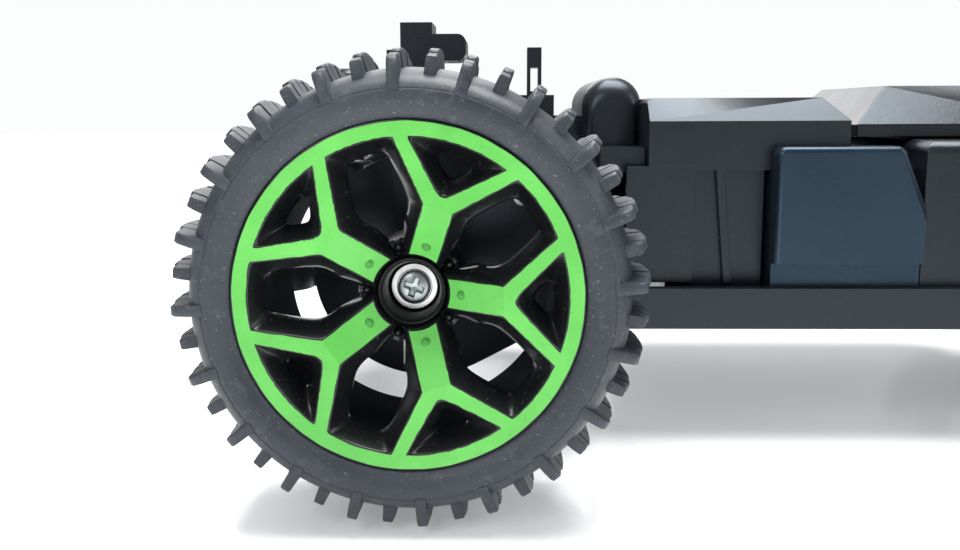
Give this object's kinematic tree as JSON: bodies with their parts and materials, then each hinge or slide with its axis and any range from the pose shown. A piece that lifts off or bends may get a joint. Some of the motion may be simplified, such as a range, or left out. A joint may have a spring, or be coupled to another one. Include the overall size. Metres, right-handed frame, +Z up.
{
  "type": "remote control car chassis",
  "caption": "Electric remote control car chassis on knobbly tyres, with steering, sprung arms and a geared rear axle.",
  "frame": {"origin": "on the ground, under the middle of the car", "axes": "+X to the front of the car, +Z up, -Y to its right"},
  "size_m": [0.271, 0.19, 0.0861],
  "materials": {
    "tyre_rubber": "satin rubber, finely stippled",
    "rim_plastic": "gloss",
    "green_paint": "satin paint",
    "plated_steel": "zinc plated",
    "black_steel": "black oxide",
    "brass": "turned",
    "motor_steel": "drawn can",
    "gear_nylon": "nylon",
    "board": "solder mask",
    "battery_wrap": "shrink sleeve",
    "shock_plastic": "moulded",
    "black_plastic": "satin moulded"
  },
  "bodies": {
    "chassis": {"chassis_tub": "black_plastic", "chassis_screws": "black_steel", "rear_bulkhead": "black_plastic", "rear_tower": "black_plastic", "hinge_pins": "plated_steel", "electronics_cover": "black_plastic", "circuit_board": "board", "battery_box": "black_plastic", "battery_pack": "battery_wrap", "front_cover": "black_plastic", "front_tower": "black_plastic", "steering_servo": "black_plastic", "front_bumper": "black_plastic", "front_body_post_left": "black_plastic", "front_body_post_right": "black_plastic"},
    "swing_unit": {"swing_cradle": "black_plastic", "gearbox_case": "black_plastic", "gearbox_cover": "black_plastic", "motor": "motor_steel", "axle_bushes": "brass", "reduction_shaft": "plated_steel", "rear_bumper": "black_plastic"},
    "rear_axle": {"rear_axle_shaft": "plated_steel", "axle_gear": "gear_nylon", "wheel_hexes": "plated_steel", "wheel_rim_rear_right": "rim_plastic", "wheel_rim_rear_left": "rim_plastic", "tyre_rear_right": "tyre_rubber", "tyre_rear_left": "tyre_rubber", "wheel_screw_rear_right": "plated_steel", "wheel_screw_rear_left": "plated_steel"},
    "reduction": {"reduction_gear": "gear_nylon"},
    "motor_rotor": {"motor_pinion": "brass"},
    "servo_horn": {"servo_horn": "black_plastic"},
    "steering_bar": {"steering_bar": "black_plastic"},
    "power_switch": {"power_switch": "black_plastic"},
    "rear_shock_body_right": {"shock_body_rear_right": "shock_plastic", "shock_spring_rear_right": "black_steel"},
    "rear_shock_rod_right": {"shock_rod_rear_right": "shock_plastic"},
    "front_shock_body_right": {"shock_body_front_right": "shock_plastic", "shock_spring_front_right": "black_steel"},
    "front_shock_rod_right": {"shock_rod_front_right": "shock_plastic"},
    "front_arm_right": {"front_arm_right": "black_plastic"},
    "front_knuckle_right": {"steering_knuckle_right": "black_plastic", "wheel_screw_front_right": "plated_steel"},
    "front_wheel_right": {"wheel_rim_front_right": "rim_plastic", "tyre_front_right": "tyre_rubber", "front_wheel_bush_right": "black_plastic"},
    "rear_shock_body_left": {"shock_body_rear_left": "shock_plastic", "shock_spring_rear_left": "black_steel"},
    "rear_shock_rod_left": {"shock_rod_rear_left": "shock_plastic"},
    "front_shock_body_left": {"shock_body_front_left": "shock_plastic", "shock_spring_front_left": "black_steel"},
    "front_shock_rod_left": {"shock_rod_front_left": "shock_plastic"},
    "front_arm_left": {"front_arm_left": "black_plastic"},
    "front_knuckle_left": {"steering_knuckle_left": "black_plastic", "wheel_screw_front_left": "plated_steel"},
    "front_wheel_left": {"wheel_rim_front_left": "rim_plastic", "tyre_front_left": "tyre_rubber", "front_wheel_bush_left": "black_plastic"}
  },
  "joints": [
    {"name": "rear_swing", "type": "hinge", "parent": "chassis", "child": "swing_unit", "pos_m": [-0.046, 0, 0.037], "axis": [0, 1, 0], "range_deg": [0, 8], "stiffness_Nm_per_rad": 1.4, "springref_deg": -8.59},
    {"name": "rear_axle_spin", "type": "hinge", "parent": "swing_unit", "child": "rear_axle", "pos_m": [-0.0885, 0, 0.038], "axis": [0, 1, 0], "continuous": true},
    {"name": "reduction_spin", "type": "hinge", "parent": "swing_unit", "child": "reduction", "pos_m": [-0.07072, -0.05, 0.05045], "axis": [0, 1, 0], "continuous": true},
    {"name": "motor_spin", "type": "hinge", "parent": "swing_unit", "child": "motor_rotor", "pos_m": [-0.06232, -0.03, 0.0359], "axis": [0, 1, 0], "continuous": true},
    {"name": "steering_turn", "type": "hinge", "parent": "chassis", "child": "servo_horn", "pos_m": [0.0885, 0, 0.041], "axis": [0, 0, 1], "range_deg": [-22, 22]},
    {"name": "steering_bar_slide", "type": "slide", "parent": "chassis", "child": "steering_bar", "axis": [0, 1, 0], "range_m": [-0.0059, 0.0059]},
    {"name": "power_switch_slide", "type": "slide", "parent": "chassis", "child": "power_switch", "axis": [0, 1, 0], "range_m": [0, 0.003]},
    {"name": "front_arm_swing_right", "type": "hinge", "parent": "chassis", "child": "front_arm_right", "pos_m": [0.0885, -0.022, 0.03], "axis": [-1, 0, 0], "range_deg": [0, 5], "stiffness_Nm_per_rad": 0.9, "springref_deg": -8.59},
    {"name": "rear_shock_lean_right", "type": "hinge", "parent": "chassis", "child": "rear_shock_body_right", "pos_m": [-0.107, -0.022, 0.072], "axis": [-1, 0, 0], "range_deg": [0, 4.3]},
    {"name": "rear_shock_slide_right", "type": "slide", "parent": "rear_shock_body_right", "child": "rear_shock_rod_right", "axis": [0, 0.2873, 0.9578], "range_m": [0, 0.0082], "deforming": ["shock_spring_rear_right"]},
    {"name": "front_shock_lean_right", "type": "hinge", "parent": "chassis", "child": "front_shock_body_right", "pos_m": [0.107, -0.034, 0.072], "axis": [-1, 0, 0], "range_deg": [0, 0.6]},
    {"name": "front_shock_slide_right", "type": "slide", "parent": "front_shock_body_right", "child": "front_shock_rod_right", "axis": [0, 0.2873, 0.9578], "range_m": [0, 0.0022], "deforming": ["shock_spring_front_right"]},
    {"name": "front_steer_right", "type": "hinge", "parent": "front_arm_right", "child": "front_knuckle_right", "pos_m": [0.0885, -0.06, 0.038], "axis": [0, 0, 1], "range_deg": [-22, 22]},
    {"name": "front_wheel_spin_right", "type": "hinge", "parent": "front_knuckle_right", "child": "front_wheel_right", "pos_m": [0.0885, -0.081, 0.038], "axis": [0, 1, 0], "continuous": true},
    {"name": "front_arm_swing_left", "type": "hinge", "parent": "chassis", "child": "front_arm_left", "pos_m": [0.0885, 0.022, 0.03], "axis": [1, 0, 0], "range_deg": [0, 5], "stiffness_Nm_per_rad": 0.9, "springref_deg": -8.59},
    {"name": "rear_shock_lean_left", "type": "hinge", "parent": "chassis", "child": "rear_shock_body_left", "pos_m": [-0.107, 0.022, 0.072], "axis": [1, 0, 0], "range_deg": [0, 4.3]},
    {"name": "rear_shock_slide_left", "type": "slide", "parent": "rear_shock_body_left", "child": "rear_shock_rod_left", "axis": [0, -0.2873, 0.9578], "range_m": [0, 0.0082], "deforming": ["shock_spring_rear_left"]},
    {"name": "front_shock_lean_left", "type": "hinge", "parent": "chassis", "child": "front_shock_body_left", "pos_m": [0.107, 0.034, 0.072], "axis": [1, 0, 0], "range_deg": [0, 0.6]},
    {"name": "front_shock_slide_left", "type": "slide", "parent": "front_shock_body_left", "child": "front_shock_rod_left", "axis": [0, -0.2873, 0.9578], "range_m": [0, 0.0022], "deforming": ["shock_spring_front_left"]},
    {"name": "front_steer_left", "type": "hinge", "parent": "front_arm_left", "child": "front_knuckle_left", "pos_m": [0.0885, 0.06, 0.038], "axis": [0, 0, 1], "range_deg": [-22, 22]},
    {"name": "front_wheel_spin_left", "type": "hinge", "parent": "front_knuckle_left", "child": "front_wheel_left", "pos_m": [0.0885, 0.081, 0.038], "axis": [0, 1, 0], "continuous": true}
  ],
  "couplings": [
    {"joint": "reduction_spin", "follows": "rear_axle_spin", "ratio": -3.4286},
    {"joint": "motor_spin", "follows": "rear_axle_spin", "ratio": 10.286},
    {"joint": "steering_bar_slide", "follows": "steering_turn", "m_per_rad": -0.015},
    {"joint": "rear_shock_lean_right", "follows": "rear_swing", "ratio": 0.5225},
    {"joint": "rear_shock_slide_right", "follows": "rear_swing", "m_per_rad": 0.05794},
    {"joint": "front_shock_lean_right", "follows": "front_arm_swing_right", "ratio": 0.098},
    {"joint": "front_shock_slide_right", "follows": "front_arm_swing_right", "m_per_rad": 0.02372},
    {"joint": "front_steer_right", "follows": "steering_turn", "ratio": 1},
    {"joint": "rear_shock_lean_left", "follows": "rear_swing", "ratio": 0.5225},
    {"joint": "rear_shock_slide_left", "follows": "rear_swing", "m_per_rad": 0.05794},
    {"joint": "front_shock_lean_left", "follows": "front_arm_swing_left", "ratio": 0.098},
    {"joint": "front_shock_slide_left", "follows": "front_arm_swing_left", "m_per_rad": 0.02372},
    {"joint": "front_steer_left", "follows": "steering_turn", "ratio": 1}
  ]
}
